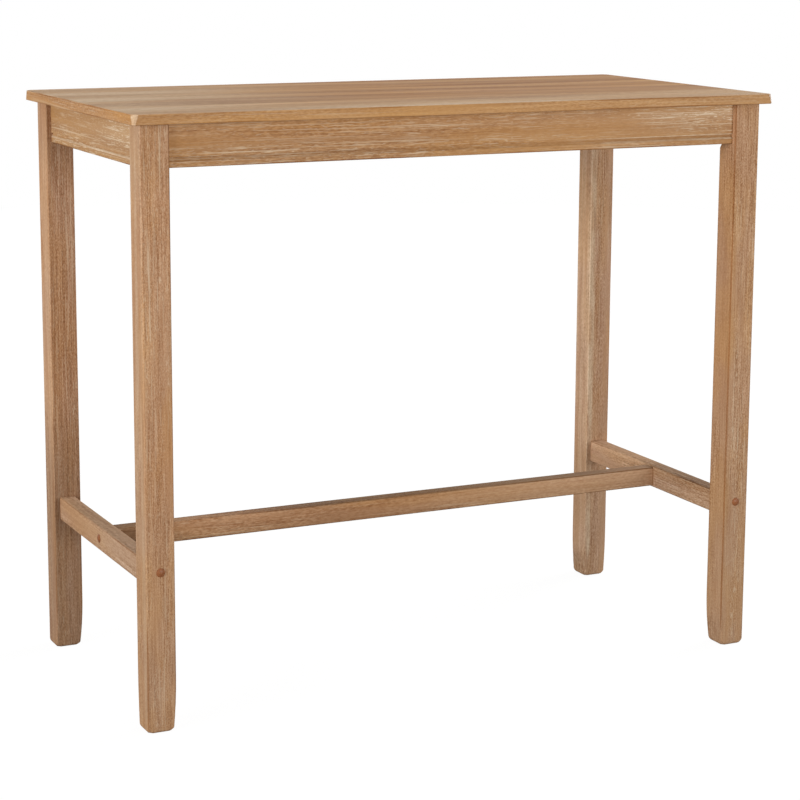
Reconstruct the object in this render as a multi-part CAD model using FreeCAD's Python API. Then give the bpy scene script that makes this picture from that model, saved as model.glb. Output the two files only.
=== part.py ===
import FreeCAD, Part
import math
import os

# Pub table: a lipped and veneered top on four grooved aprons, four square legs and an H of three stretchers.
# Sizes are in millimetres. X runs along the length, Y from front to back and Z up.
# The origin is on the floor under the middle of the table.

Vector = FreeCAD.Vector
up = Vector(0, 0, 1)
down = Vector(0, 0, -1)
along_length = Vector(1, 0, 0)
along_depth = Vector(0, 1, 0)
diagonal = Vector(1, 1, 0).normalize()
root_two = math.sqrt(2)
past = 1.0                      # how far a cutter runs past the face that it leaves
near_enough = 0.01              # tolerance when an edge is picked by its place
parallel = 0.999                # least cosine when an edge is picked by its direction

# Whole table
table_length = 1245.0
table_depth = 605.0
table_height = 1060.0

# Top
top_thickness = 18.0
top_overhang = 17.0             # from a leg's outer face to the top's edge
veneer_thickness = 0.6
lipping_width = 12.0
corner_clip_above = 9.0         # the sanded corner takes off more at the top face
corner_clip_below = 4.0
top_arris_above = 2.0           # radius
top_arris_below = 1.0           # radius

# Legs
leg_side = 52.0
leg_arris = 3.0                 # radius
foot_taper = 5.0                # how far each inner face curves in at the floor
foot_taper_height = 95.0
foot_arris = 6.5                # radius
foot_corner = 12.0              # radius, where two of those arrises meet
leg_flat_depth = 14.0           # from the inner corner to the flat that takes the hanger bolts
leg_flat_slope = 27.0           # degrees from upright where the flat runs out
leg_flat_toe = 10.0             # radius at the foot of that slope
leg_flat_below_apron = 16.0

# Aprons
apron_thickness = 20.0
apron_height = 74.0
apron_setback = 10.0            # behind the legs' outer faces
apron_arris = 1.5               # radius
groove_lift = 10.0              # from the apron's bottom edge to the groove's lower lip
groove_ledge = 5.0              # height of the sloping ledge
groove_width = 8.0
groove_depth = 3.0
groove_relief = 0.5             # slope of the upper wall

# Stretchers
end_stretcher_thickness = 30.0
end_stretcher_height = 44.0
end_stretcher_lift = 252.0
long_stretcher_thickness = 30.0
long_stretcher_height = 38.0
long_stretcher_lift = 255.5
stretcher_arris = 4.0           # radius

# Corner blocks
block_gap = 16.0                # between a leg's flat and the block
block_thickness = 22.0
block_height = 64.0
block_screw_offset = 35.0       # along the apron, from the leg's inner face
block_screw_spread = 20.0       # above and below the block's middle
block_screw_seat = 13.0         # wood left under the screw's head
block_screw_length = 28.0
block_counterbore_radius = 5.0

# Hanger bolts, size M8
hanger_radius = 4.0
hanger_in_leg = 38.0
hanger_point = 6.0
hanger_past_nut = 4.0
hanger_spread = 16.0            # above and below the block's middle
hanger_clearance_radius = 4.5
hanger_washer_radius = 10.0
hanger_washer_thickness = 1.6
lock_washer_radius = 7.0
lock_washer_thickness = 2.0
lock_washer_gap = 2.0
hanger_nut_flats = 13.0
hanger_nut_height = 6.5
nut_bevel = math.radians(30)
thread_clearance = 0.05
thread_bevel = 0.8              # at the end of a threaded shank

# Cleats
cleat_side = 20.0
cleat_from_block = 12.0
cleat_screw_length = 32.0
# Screws into the apron, then into the top, as shares of the cleat's half length
long_cleat_screws = ((-0.85, -0.3, 0.3, 0.85), (-0.6, 0.0, 0.6))
end_cleat_screws = ((-0.75, 0.75), (-0.25, 0.25))

# Wood screws
screw_radius = 2.0
screw_point = 5.0
screw_head_radius = 4.0
countersink_height = 2.4
pan_head_height = 2.8
pan_side_height = 1.4
pan_crown_radius = 2.4
recess_width = 1.0
recess_reach = 2.2
recess_depth = 1.6

# Stretcher joints: M6 bolts with barrel nuts, dowels beside them and caps over the heads
leg_bolt_lift = 284.0
leg_dowel_lift = 264.0
leg_counterbore_depth = 20.0
long_counterbore_depth = 14.0
counterbore_radius = 6.5
bolt_radius = 3.0
bolt_clearance_radius = 3.5
bolt_head_radius = 5.0
bolt_head_height = 6.0
bolt_socket_flats = 5.0
bolt_socket_depth = 3.0
bolt_washer_radius = 6.25
bolt_washer_thickness = 1.6
bolt_past_nut = 8.0             # from the barrel nut's axis to the bolt's end
barrel_radius = 5.0
barrel_length = 14.0
barrel_from_end = 30.0          # from the stretcher's end to the barrel nut's axis
barrel_slot_width = 1.5
barrel_slot_depth = 1.5
leg_dowel_radius = 4.0
leg_dowel_length = 40.0
long_dowel_radius = 3.0
long_dowel_length = 28.0
long_dowel_spread = 12.0        # above and below the bolt
dowel_chamfer = 1.0
cap_radius = 7.9
cap_rim = 0.7
cap_dome = 2.3
cap_spigot_radius = 6.4
cap_spigot_length = 5.0

# Places worked out from the sizes above
half_length = table_length / 2
half_depth = table_depth / 2
leg_half_length = half_length - top_overhang
leg_half_depth = half_depth - top_overhang
slab_bottom = table_height - top_thickness
apron_bottom = slab_bottom - apron_height
apron_inner = apron_setback + apron_thickness
block_middle = apron_bottom + apron_height / 2
block_bottom = block_middle - block_height / 2
leg_diagonal = leg_side * root_two
block_near = leg_diagonal - leg_flat_depth + block_gap      # along the diagonal from the leg's outer corner
block_far = block_near + block_thickness
cleat_start = block_far * root_two - apron_inner + cleat_from_block
end_stretcher_middle = leg_half_length - leg_side / 2
long_stretcher_half = end_stretcher_middle - end_stretcher_thickness / 2
end_stretcher_half = leg_half_depth - leg_side
long_bolt_lift = long_stretcher_lift + long_stretcher_height / 2

# Each corner has the place of its leg's outer corner, and the turn that points +X and +Y inwards
corners = {
    "front_left": (Vector(-leg_half_length, -leg_half_depth, 0), 0),
    "front_right": (Vector(leg_half_length, -leg_half_depth, 0), 90),
    "back_right": (Vector(leg_half_length, leg_half_depth, 0), 180),
    "back_left": (Vector(-leg_half_length, leg_half_depth, 0), 270),
}

# Each side has the middle of the legs' outer faces, the turn that points +Y inwards, and its half span
sides = {
    "front": (Vector(0, -leg_half_depth, 0), 0, leg_half_length),
    "right": (Vector(leg_half_length, 0, 0), 90, leg_half_depth),
    "back": (Vector(0, leg_half_depth, 0), 180, leg_half_length),
    "left": (Vector(-leg_half_length, 0, 0), 270, leg_half_depth),
}
long_sides = ("front", "back")
ends = {"left": -1, "right": 1}

# The two aprons at each corner: first the one along the corner frame's X, then the one along its Y
corner_aprons = {
    "front_left": ("front", "left"),
    "front_right": ("right", "front"),
    "back_right": ("back", "right"),
    "back_left": ("left", "back"),
}


def block(low, high):
    size = high - low
    return Part.makeBox(size.x, size.y, size.z, low)


def plate(points, lift, height):
    """A flat outline, given as (x, y) points, raised to a height."""
    outline = [Vector(x, y, lift) for x, y in points]
    face = Part.Face(Part.makePolygon(outline + outline[:1]))
    return face.extrude(Vector(0, 0, height))


def turned(points):
    """A turned piece about Z from (radius, height) points that start and end on the axis."""
    outline = [Vector(radius, 0, height) for radius, height in points]
    face = Part.Face(Part.makePolygon(outline + outline[:1]))
    return face.revolve(Vector(), up, 360)


def ring(outer, inner, height):
    return Part.makeCylinder(outer, height).cut(Part.makeCylinder(inner, height))


def hexagon(flats, lift, height):
    reach = flats / math.sqrt(3)
    turns = [math.tau * step / 6 for step in range(6)]
    return plate([(reach * math.cos(turn), reach * math.sin(turn)) for turn in turns], lift, height)


def aimed(shape, start, direction):
    """Turns a piece made along +Z to run along a direction from a start."""
    placed = shape.copy()
    placed.Placement = FreeCAD.Placement(start, FreeCAD.Rotation(up, direction))
    return placed


def set_in(shape, place, turn):
    """Carries a piece from its corner's or side's own frame to the table."""
    placed = shape.copy()
    placed.Placement = FreeCAD.Placement(place, FreeCAD.Rotation(up, turn)).multiply(shape.Placement)
    return placed


def lies_at(edge, level):
    return abs(edge.BoundBox.ZMin - level) < near_enough and abs(edge.BoundBox.ZMax - level) < near_enough


def edges_at(shape, level):
    return [edge for edge in shape.Edges if lies_at(edge, level)]


def edges_along(shape, direction, least):
    """The straight edges along a direction that are at least so long."""
    found = []
    for edge in shape.Edges:
        if edge.Length < least or edge.Curve.TypeId != "Part::GeomLine":
            continue
        if abs(edge.tangentAt(edge.FirstParameter).dot(direction)) > parallel:
            found.append(edge)
    return found


def make_slab():
    """The finished top before it is parted into its core, lippings and veneers."""
    low = Vector(-half_length, -half_depth, slab_bottom)
    slab = block(low, Vector(half_length, half_depth, table_height))
    for side_x in (-1, 1):
        for side_y in (-1, 1):
            slab = slab.cut(corner_wedge(side_x, side_y))
    slab = slab.makeFillet(top_arris_above, edges_at(slab, table_height))
    return slab.makeFillet(top_arris_below, edges_at(slab, slab_bottom))


def corner_wedge(side_x, side_y):
    """What is sanded off a corner: a triangle that grows from the underside to the top face."""
    tall = top_thickness + 2 * past
    growth = (corner_clip_above - corner_clip_below) / top_thickness
    triangles = []
    for lift in (-past, tall - past):
        clip = corner_clip_below + growth * lift
        corner = Vector(side_x * (half_length + past), side_y * (half_depth + past), slab_bottom + lift)
        reach = clip + 2 * past
        along_x = corner - Vector(side_x * reach, 0, 0)
        along_y = corner - Vector(0, side_y * reach, 0)
        triangles.append(Part.makePolygon([corner, along_x, along_y, corner]))
    return Part.makeLoft(triangles, True, True)


def make_top():
    slab = make_slab()
    core_lift = slab_bottom + veneer_thickness
    core_height = top_thickness - 2 * veneer_thickness
    core_half_length = half_length - lipping_width
    core_half_depth = half_depth - lipping_width
    outer = [(-half_length, -half_depth), (half_length, -half_depth), (half_length, half_depth),
             (-half_length, half_depth)]
    inner = [(-core_half_length, -core_half_depth), (core_half_length, -core_half_depth),
             (core_half_length, core_half_depth), (-core_half_length, core_half_depth)]
    pieces = {
        "top_veneer": slab.common(plate(outer, table_height - veneer_thickness, veneer_thickness)),
        "top_core": plate(inner, core_lift, core_height),
        "underside_veneer": slab.common(plate(outer, slab_bottom, veneer_thickness)),
    }
    for index, side in enumerate(("front", "right", "back", "left")):
        after = (index + 1) % len(outer)
        mitred = [outer[index], outer[after], inner[after], inner[index]]
        pieces[side + "_lipping"] = slab.common(plate(mitred, core_lift, core_height))
    return pieces


def leg_face_profile():
    """One leg face seen square on: straight outside, curved in towards the floor inside."""
    radius = (foot_taper_height ** 2 + foot_taper ** 2) / (2 * foot_taper)
    half_turn = math.asin(foot_taper_height / radius) / 2
    waist = Vector(leg_side - radius + radius * math.cos(half_turn), 0,
                   foot_taper_height - radius * math.sin(half_turn))
    foot = Vector(leg_side - foot_taper, 0, 0)
    knee = Vector(leg_side, 0, foot_taper_height)
    curve = Part.Arc(foot, waist, knee).toShape()
    inner_top = Vector(leg_side, 0, slab_bottom)
    outer_top = Vector(0, 0, slab_bottom)
    rest = Part.makePolygon([knee, inner_top, outer_top, Vector(), foot])
    return Part.Face(Part.Wire([curve] + rest.Edges))


def leg_flat_cutter():
    """Takes off the inner corner at 45 degrees beside the aprons, with a sloping run-out below them."""
    corner = leg_diagonal
    run_out = apron_bottom - leg_flat_below_apron
    slope = math.radians(leg_flat_slope)
    centre = Vector(corner - leg_flat_toe, 0, run_out)
    foot, middle, toe = [centre + Vector(math.cos(turn), 0, math.sin(turn)) * leg_flat_toe
                         for turn in (0, slope / 2, slope)]
    reach_x = corner - leg_flat_depth
    reach = Vector(reach_x, 0, toe.z + (toe.x - reach_x) / math.tan(slope))
    curve = Part.Arc(foot, middle, toe).toShape()
    above = slab_bottom + past
    rest = Part.makePolygon([toe, reach, Vector(reach.x, 0, above), Vector(corner + past, 0, above),
                             Vector(corner + past, 0, run_out), foot])
    face = Part.Face(Part.Wire([curve] + rest.Edges))
    cutter = face.extrude(Vector(0, 2 * leg_side, 0))
    cutter.translate(Vector(0, -leg_side, 0))
    cutter.rotate(Vector(), up, 45)
    return cutter


def foot_round_cutter(reach, lean, radius):
    """Rounds an arris of a foot that stands on the origin. The arris runs along Y at the reach along X, and the
    face above it leans outwards."""
    run = radius / math.tan(math.pi / 4 + lean / 2)
    on_floor = Vector(reach - run, 0, 0)
    on_face = Vector(reach + run * math.sin(lean), 0, run * math.cos(lean))
    centre = on_floor + up * radius
    halfway = (on_floor + on_face) * 0.5 - centre
    curve = Part.Arc(on_floor, centre + halfway * (radius / halfway.Length), on_face).toShape()
    outside = reach + leg_side / 2
    rest = Part.makePolygon([on_face, Vector(outside, 0, on_face.z), Vector(outside, 0, -past),
                             Vector(on_floor.x, 0, -past), on_floor])
    cutter = Part.Face(Part.Wire([curve] + rest.Edges)).extrude(along_depth * 2 * leg_side)
    cutter.translate(along_depth * -leg_side)
    return cutter


def foot_cutters():
    """Round the arrises of a foot and, more, its corners. Its +X and +Y faces are the ones that curve in."""
    foot_side = leg_side - foot_taper
    face_reach = foot_side / 2
    corner_reach = foot_side / root_two - leg_arris * (root_two - 1)
    slope = foot_taper / foot_taper_height
    curved = 2 * math.atan(slope)
    inner = math.atan(root_two * math.tan(curved))
    mixed = math.atan(math.tan(curved) / root_two)
    cutters = []
    for turn, lean in ((0, curved), (90, curved), (180, 0), (270, 0)):
        cutters.append((turn, foot_round_cutter(face_reach, lean, foot_arris)))
    for turn, lean in ((45, inner), (135, mixed), (225, 0), (315, mixed)):
        cutters.append((turn, foot_round_cutter(corner_reach, lean, foot_corner)))
    for turn, cutter in cutters:
        cutter.rotate(Vector(), up, turn)
        cutter.translate(Vector(face_reach, face_reach, 0))
    return [cutter for turn, cutter in cutters]


def make_leg():
    """A leg in its corner's frame, with the outer corner on the Z axis."""
    along_x = leg_face_profile().extrude(Vector(0, leg_side, 0))
    along_y = leg_face_profile()
    along_y.rotate(Vector(), up, 90)
    along_y = along_y.extrude(Vector(leg_side, 0, 0))
    leg = along_x.common(along_y)
    tall = [edge for edge in leg.Edges if edge.BoundBox.ZLength > foot_taper_height / 2]
    leg = leg.makeFillet(leg_arris, tall)
    return leg.cut(foot_cutters()).cut(leg_flat_cutter())


def make_apron(half_span):
    """An apron in its side's frame, between two legs, with the groove along its outer face."""
    reach = half_span - leg_side
    low = Vector(-reach, apron_setback, apron_bottom)
    apron = block(low, Vector(reach, apron_inner, slab_bottom))
    lower = [edge for edge in edges_along(apron, along_length, reach) if lies_at(edge, apron_bottom)]
    apron = apron.makeFillet(apron_arris, lower)
    lip = apron_bottom + groove_lift
    outline = [
        Vector(0, apron_setback - past, lip - past),
        Vector(0, apron_setback + groove_depth, lip + groove_ledge),
        Vector(0, apron_setback + groove_depth, lip + groove_width - groove_relief),
        Vector(0, apron_setback - past, lip + groove_width),
    ]
    groove = Part.Face(Part.makePolygon(outline + outline[:1])).extrude(Vector(2 * (reach + past), 0, 0))
    groove.translate(Vector(-reach - past, 0, 0))
    return apron.cut(groove)


def make_rail(low, high, direction):
    """A stretcher with its four long edges eased."""
    rail = block(low, high)
    length = (high - low).dot(direction)
    return rail.makeFillet(stretcher_arris, edges_along(rail, direction, length / 2))


def screw_body(length, head):
    """A screw pointing down from its head's top, with the head's outline given as (radius, height) points."""
    shank = [(screw_radius, screw_point - length), (0, -length)]
    return turned([(0, head[0][1])] + head + shank)


def cross_recess():
    low = Vector(-recess_reach, -recess_width / 2, -recess_depth)
    arm = block(low, Vector(recess_reach, recess_width / 2, past))
    other = arm.copy()
    other.rotate(Vector(), up, 90)
    return arm.fuse(other)


countersunk_head = [(screw_head_radius, 0), (screw_radius, -countersink_height)]
pan_head = [(pan_crown_radius, pan_head_height), (screw_head_radius, pan_side_height), (screw_head_radius, 0),
            (screw_radius, 0)]
cleat_screw_hole = screw_body(cleat_screw_length, countersunk_head)
cleat_screw = cleat_screw_hole.cut(cross_recess())
block_screw_hole = screw_body(block_screw_length, pan_head)
block_screw_recess = cross_recess()
block_screw_recess.translate(Vector(0, 0, pan_head_height))
block_screw = block_screw_hole.cut(block_screw_recess)


def make_corner_block():
    """A block across the corner, with its ends on the two aprons' inner faces."""
    near = block_near * root_two - apron_inner
    far = block_far * root_two - apron_inner
    outline = [(apron_inner, near), (near, apron_inner), (far, apron_inner), (apron_inner, far)]
    return plate(outline, block_bottom, block_height)


def on_diagonal(reach, lift):
    return Vector(reach / root_two, reach / root_two, lift)


def make_hanger_bolt():
    """Lag point in the leg, machine thread through the block, along +Z with the leg's flat at zero."""
    stack = hanger_washer_thickness + lock_washer_thickness + hanger_nut_height + hanger_past_nut
    end = block_gap + block_thickness + stack
    return turned([(0, -hanger_in_leg), (hanger_radius, hanger_point - hanger_in_leg),
                   (hanger_radius, end - thread_bevel), (hanger_radius - thread_bevel, end), (0, end)])


def make_hex_nut(flats, height, bore):
    """A hex nut with its corners turned off at both ends."""
    corner = flats / math.sqrt(3)
    drop = (corner - flats / 2) * math.tan(nut_bevel)
    rounding = turned([(0, 0), (flats / 2, 0), (corner, drop), (corner, height - drop), (flats / 2, height),
                       (0, height)])
    nut = hexagon(flats, 0, height).common(rounding)
    return nut.cut(Part.makeCylinder(bore, height))


def make_lock_washer():
    washer = ring(lock_washer_radius, hanger_radius + thread_clearance, lock_washer_thickness)
    low = Vector(0, -lock_washer_gap / 2, 0)
    gap = block(low, Vector(2 * lock_washer_radius, lock_washer_gap / 2, lock_washer_thickness))
    return washer.cut(gap)


def make_socket_bolt(length):
    """A socket-head bolt whose seat is at zero and whose shank runs along +Z."""
    head = [(0, -bolt_head_height), (bolt_head_radius, -bolt_head_height), (bolt_head_radius, 0)]
    shank = [(bolt_radius, 0), (bolt_radius, length - thread_bevel), (bolt_radius - thread_bevel, length)]
    bolt = turned(head + shank + [(0, length)])
    return bolt.cut(hexagon(bolt_socket_flats, -bolt_head_height, bolt_socket_depth))


def make_barrel_nut(direction):
    """A barrel nut on end, threaded across along a direction, with a driver slot underneath."""
    barrel = Part.makeCylinder(barrel_radius, barrel_length, Vector(0, 0, -barrel_length / 2))
    start = direction * -barrel_radius
    across = Part.makeCylinder(bolt_radius + thread_clearance, 2 * barrel_radius, start, direction)
    slot = block(Vector(-barrel_radius, -barrel_slot_width / 2, -barrel_length / 2),
                 Vector(barrel_radius, barrel_slot_width / 2, barrel_slot_depth - barrel_length / 2))
    return barrel.cut(across).cut(slot)


def make_dowel(radius, length):
    half = length / 2
    return turned([(0, -half), (radius - dowel_chamfer, -half), (radius, dowel_chamfer - half),
                   (radius, half - dowel_chamfer), (radius - dowel_chamfer, half), (0, half)])


def make_cap():
    """A domed cap that faces -Z, with its spigot along +Z into the counterbore."""
    dome_radius = (cap_radius ** 2 + cap_dome ** 2) / (2 * cap_dome)
    half_turn = math.asin(cap_radius / dome_radius) / 2
    crown = Vector(0, 0, -cap_rim - cap_dome)
    shoulder = Vector(dome_radius * math.sin(half_turn), 0, crown.z + dome_radius * (1 - math.cos(half_turn)))
    edge = Vector(cap_radius, 0, -cap_rim)
    dome = Part.Arc(crown, shoulder, edge).toShape()
    rim = [edge, Vector(cap_radius, 0, 0)]
    spigot = [Vector(cap_spigot_radius, 0, 0), Vector(cap_spigot_radius, 0, cap_spigot_length),
              Vector(0, 0, cap_spigot_length)]
    rest = Part.makePolygon(rim + spigot + [crown])
    return Part.Face(Part.Wire([dome] + rest.Edges)).revolve(Vector(), up, 360)


class StretcherJoint:
    """A bolted butt joint between an outer piece and the end of an inner piece.

    The mouth is where the bolt's axis leaves the outer face, and inwards is the way that the bolt runs.
    The barrel floor is the height of the face that the barrel nut's hole is drilled from."""

    def __init__(self, mouth, inwards, outer_thickness, counterbore_depth, barrel_floor):
        self.mouth = mouth
        self.inwards = inwards
        self.seat = mouth + inwards * counterbore_depth
        self.shoulder = mouth + inwards * outer_thickness
        self.barrel_place = self.shoulder + inwards * barrel_from_end
        self.barrel_floor = barrel_floor
        self.counterbore_depth = counterbore_depth

    def bolt(self):
        seat = self.seat - self.inwards * bolt_washer_thickness
        length = (self.barrel_place - seat).Length + bolt_past_nut
        return aimed(make_socket_bolt(length), seat, self.inwards)

    def washer(self):
        washer = ring(bolt_washer_radius, bolt_clearance_radius, bolt_washer_thickness)
        return aimed(washer, self.seat - self.inwards * bolt_washer_thickness, self.inwards)

    def barrel_nut(self):
        nut = make_barrel_nut(self.inwards)
        nut.translate(self.barrel_place)
        return nut

    def cap(self):
        return aimed(make_cap(), self.mouth, self.inwards)

    def bore(self):
        """A counterbore for the bolt's head, then a clearance hole that ends past the bolt."""
        depth = (self.barrel_place - self.mouth).Length + bolt_past_nut + past
        hole = Part.makeCylinder(bolt_clearance_radius, depth, self.mouth, self.inwards)
        counterbore = Part.makeCylinder(counterbore_radius, self.counterbore_depth, self.mouth, self.inwards)
        return hole.fuse(counterbore)

    def barrel_hole(self):
        """Drilled from underneath, just deep enough for the barrel nut."""
        top = self.barrel_place.z + barrel_length / 2
        start = Vector(self.barrel_place.x, self.barrel_place.y, self.barrel_floor - past)
        return Part.makeCylinder(barrel_radius, top - start.z, start, up)

    def dowel(self, radius, length, lift):
        middle = Vector(self.shoulder.x, self.shoulder.y, lift)
        return aimed(make_dowel(radius, length), middle, self.inwards)


nodes = {}       # finished pieces by name
groups = {}      # loose fasteners by the name that they share
cuts = {}        # holes by the name of the piece that they go into


def add(group, shape):
    groups.setdefault(group, []).append(shape)


def drill(node, shape):
    cuts.setdefault(node, []).append(shape)


def lay_out_frame():
    """Top, legs, aprons and stretchers before they are drilled."""
    nodes.update(make_top())
    leg = make_leg()
    for corner, (place, turn) in corners.items():
        nodes[corner + "_leg"] = set_in(leg, place, turn)
    for side, (place, turn, half_span) in sides.items():
        nodes[side + "_apron"] = set_in(make_apron(half_span), place, turn)
    for side, sign in ends.items():
        near = sign * end_stretcher_middle - end_stretcher_thickness / 2
        low = Vector(near, -end_stretcher_half, end_stretcher_lift)
        size = Vector(end_stretcher_thickness, 2 * end_stretcher_half, end_stretcher_height)
        nodes[side + "_end_stretcher"] = make_rail(low, low + size, along_depth)
    low = Vector(-long_stretcher_half, -long_stretcher_thickness / 2, long_stretcher_lift)
    size = Vector(2 * long_stretcher_half, long_stretcher_thickness, long_stretcher_height)
    nodes["long_stretcher"] = make_rail(low, low + size, along_length)


def fit_hanger_bolt(corner, lift):
    """One hanger bolt from the leg's flat through the corner block, with its washers and nut."""
    place, turn = corners[corner]
    flat = on_diagonal(leg_diagonal - leg_flat_depth, lift)
    bolt = set_in(aimed(make_hanger_bolt(), flat, diagonal), place, turn)
    add("hanger_bolts", bolt)
    drill(corner + "_leg", bolt)
    block_face = on_diagonal(block_near, lift)
    passage = Part.makeCylinder(hanger_clearance_radius, block_thickness, block_face, diagonal)
    drill(corner + "_corner_block", set_in(passage, place, turn))
    stack = (
        ("hanger_washers", ring(hanger_washer_radius, hanger_clearance_radius, hanger_washer_thickness)),
        ("hanger_lock_washers", make_lock_washer()),
        ("hanger_nuts", make_hex_nut(hanger_nut_flats, hanger_nut_height, hanger_radius + thread_clearance)),
    )
    reach = block_far
    for group, piece in stack:
        add(group, set_in(aimed(piece, on_diagonal(reach, lift), diagonal), place, turn))
        reach += piece.BoundBox.ZLength


def fit_block_screw(corner, apron, head, outwards):
    """One screw through a corner block into an apron, with its head down in a counterbore."""
    place, turn = corners[corner]
    add("corner_block_screws", set_in(aimed(block_screw, head, outwards), place, turn))
    hole = set_in(aimed(block_screw_hole, head, outwards), place, turn)
    counterbore = Part.makeCylinder(block_counterbore_radius, block_thickness, head, outwards)
    drill(apron + "_apron", hole)
    drill(corner + "_corner_block", hole)
    drill(corner + "_corner_block", set_in(counterbore, place, turn))


def fit_corner(corner):
    place, turn = corners[corner]
    nodes[corner + "_corner_block"] = set_in(make_corner_block(), place, turn)
    for lift in (block_middle - hanger_spread, block_middle + hanger_spread):
        fit_hanger_bolt(corner, lift)
    run = leg_side + block_screw_offset
    seat = apron_inner + block_screw_seat
    one_apron, other_apron = corner_aprons[corner]
    for lift in (block_middle - block_screw_spread, block_middle + block_screw_spread):
        fit_block_screw(corner, one_apron, Vector(run, seat, lift), along_depth)
        fit_block_screw(corner, other_apron, Vector(seat, run, lift), along_length)


def fit_cleat(side):
    """A cleat along an apron's inner face, screwed to the apron and up into the top."""
    place, turn, half_span = sides[side]
    cleat = side + "_cleat"
    reach = half_span - cleat_start
    low = Vector(-reach, apron_inner, slab_bottom - cleat_side)
    nodes[cleat] = set_in(block(low, Vector(reach, apron_inner + cleat_side, slab_bottom)), place, turn)
    into_apron, into_top = long_cleat_screws if side in long_sides else end_cleat_screws
    for share in into_apron:
        head = Vector(share * reach, apron_inner + cleat_side, slab_bottom - cleat_side / 2)
        add("cleat_apron_screws", set_in(aimed(cleat_screw, head, along_depth), place, turn))
        hole = set_in(aimed(cleat_screw_hole, head, along_depth), place, turn)
        drill(cleat, hole)
        drill(side + "_apron", hole)
    for share in into_top:
        head = Vector(share * reach, apron_inner + cleat_side / 2, slab_bottom - cleat_side)
        add("cleat_top_screws", set_in(aimed(cleat_screw, head, down), place, turn))
        hole = set_in(aimed(cleat_screw_hole, head, down), place, turn)
        drill(cleat, hole)
        drill("underside_veneer", hole)
        drill("top_core", hole)


def fit_joint(joint, prefix, outer, inner, dowel_radius, dowel_length, dowel_lifts):
    """Puts a joint's fasteners in, and drills its outer and inner pieces for them."""
    add(prefix + "_joint_bolts", joint.bolt())
    add(prefix + "_joint_washers", joint.washer())
    add(prefix + "_joint_barrel_nuts", joint.barrel_nut())
    drill(inner, joint.barrel_hole())
    for node in (outer, inner):
        drill(node, joint.bore())
    for lift in dowel_lifts:
        dowel = joint.dowel(dowel_radius, dowel_length, lift)
        add(prefix + "_joint_dowels", dowel)
        for node in (outer, inner):
            drill(node, dowel)


def fit_leg_joint(corner):
    place = corners[corner][0]
    end = corner.split("_")[1]
    mouth = Vector(ends[end] * end_stretcher_middle, place.y, leg_bolt_lift)
    inwards = Vector(0, -math.copysign(1, place.y), 0)
    joint = StretcherJoint(mouth, inwards, leg_side, leg_counterbore_depth, end_stretcher_lift)
    fit_joint(joint, "leg", corner + "_leg", end + "_end_stretcher", leg_dowel_radius, leg_dowel_length,
              [leg_dowel_lift])
    add("leg_bolt_caps", joint.cap())


def fit_long_joint(end):
    sign = ends[end]
    mouth = Vector(sign * (end_stretcher_middle + end_stretcher_thickness / 2), 0, long_bolt_lift)
    inwards = along_length * -sign
    joint = StretcherJoint(mouth, inwards, end_stretcher_thickness, long_counterbore_depth,
                           long_stretcher_lift)
    fit_joint(joint, "long", end + "_end_stretcher", "long_stretcher", long_dowel_radius, long_dowel_length,
              [long_bolt_lift - long_dowel_spread, long_bolt_lift + long_dowel_spread])
    add("stretcher_bolt_caps", joint.cap())


lay_out_frame()
for corner in corners:
    fit_corner(corner)
    fit_leg_joint(corner)
for side in sides:
    fit_cleat(side)
for end in ends:
    fit_long_joint(end)
for node, cutters in cuts.items():
    nodes[node] = nodes[node].cut(Part.makeCompound(cutters))
for group, pieces in groups.items():
    nodes[group] = Part.makeCompound(pieces)

os.makedirs("parts", exist_ok=True)
for node, shape in nodes.items():
    shape.exportStep("parts/" + node + ".step")
    sound = shape.isValid() and all(solid.Volume > 0 for solid in shape.Solids)
    print(node, "solids:", len(shape.Solids), "volume in mm3:", round(shape.Volume), "sound:", sound)
print("nodes:", len(nodes))
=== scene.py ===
# %% [markdown]
# # A limed pub table
# This lesson dresses a bar-height table whose solids are already built. The real table is plain joinery,
# so nearly all of its looks come from the finish: golden wood, brushed along the grain and rubbed with a
# pale lime glaze. The solids are loaded first and stay where they are, and every step below works in the
# same frame, in metres.

# %% Load the solids
import math
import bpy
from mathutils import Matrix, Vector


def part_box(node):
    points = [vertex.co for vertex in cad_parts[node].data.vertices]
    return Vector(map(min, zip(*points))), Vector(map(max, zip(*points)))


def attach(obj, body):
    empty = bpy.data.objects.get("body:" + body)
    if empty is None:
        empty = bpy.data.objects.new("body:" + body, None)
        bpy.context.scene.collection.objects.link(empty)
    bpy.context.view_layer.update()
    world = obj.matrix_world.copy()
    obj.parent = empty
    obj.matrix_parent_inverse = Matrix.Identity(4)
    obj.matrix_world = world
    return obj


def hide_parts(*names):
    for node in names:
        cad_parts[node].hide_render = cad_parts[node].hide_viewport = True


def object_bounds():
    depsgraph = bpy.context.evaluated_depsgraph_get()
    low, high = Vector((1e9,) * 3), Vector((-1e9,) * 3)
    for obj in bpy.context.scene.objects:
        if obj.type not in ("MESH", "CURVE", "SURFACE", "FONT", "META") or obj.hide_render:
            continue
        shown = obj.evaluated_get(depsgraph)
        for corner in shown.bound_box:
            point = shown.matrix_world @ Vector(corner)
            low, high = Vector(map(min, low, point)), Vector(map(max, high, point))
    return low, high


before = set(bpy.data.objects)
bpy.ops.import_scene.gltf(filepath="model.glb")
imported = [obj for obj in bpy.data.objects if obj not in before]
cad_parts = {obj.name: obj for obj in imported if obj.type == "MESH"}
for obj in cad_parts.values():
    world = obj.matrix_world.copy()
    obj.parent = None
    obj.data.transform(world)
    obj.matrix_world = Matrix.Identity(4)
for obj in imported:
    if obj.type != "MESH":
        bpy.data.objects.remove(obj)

from types import SimpleNamespace

import bmesh
import bpy
from mathutils import Euler, Matrix, Vector

cad_low, cad_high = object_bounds()
print("solids:", len(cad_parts), "box:", tuple(cad_low), tuple(cad_high))

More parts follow.
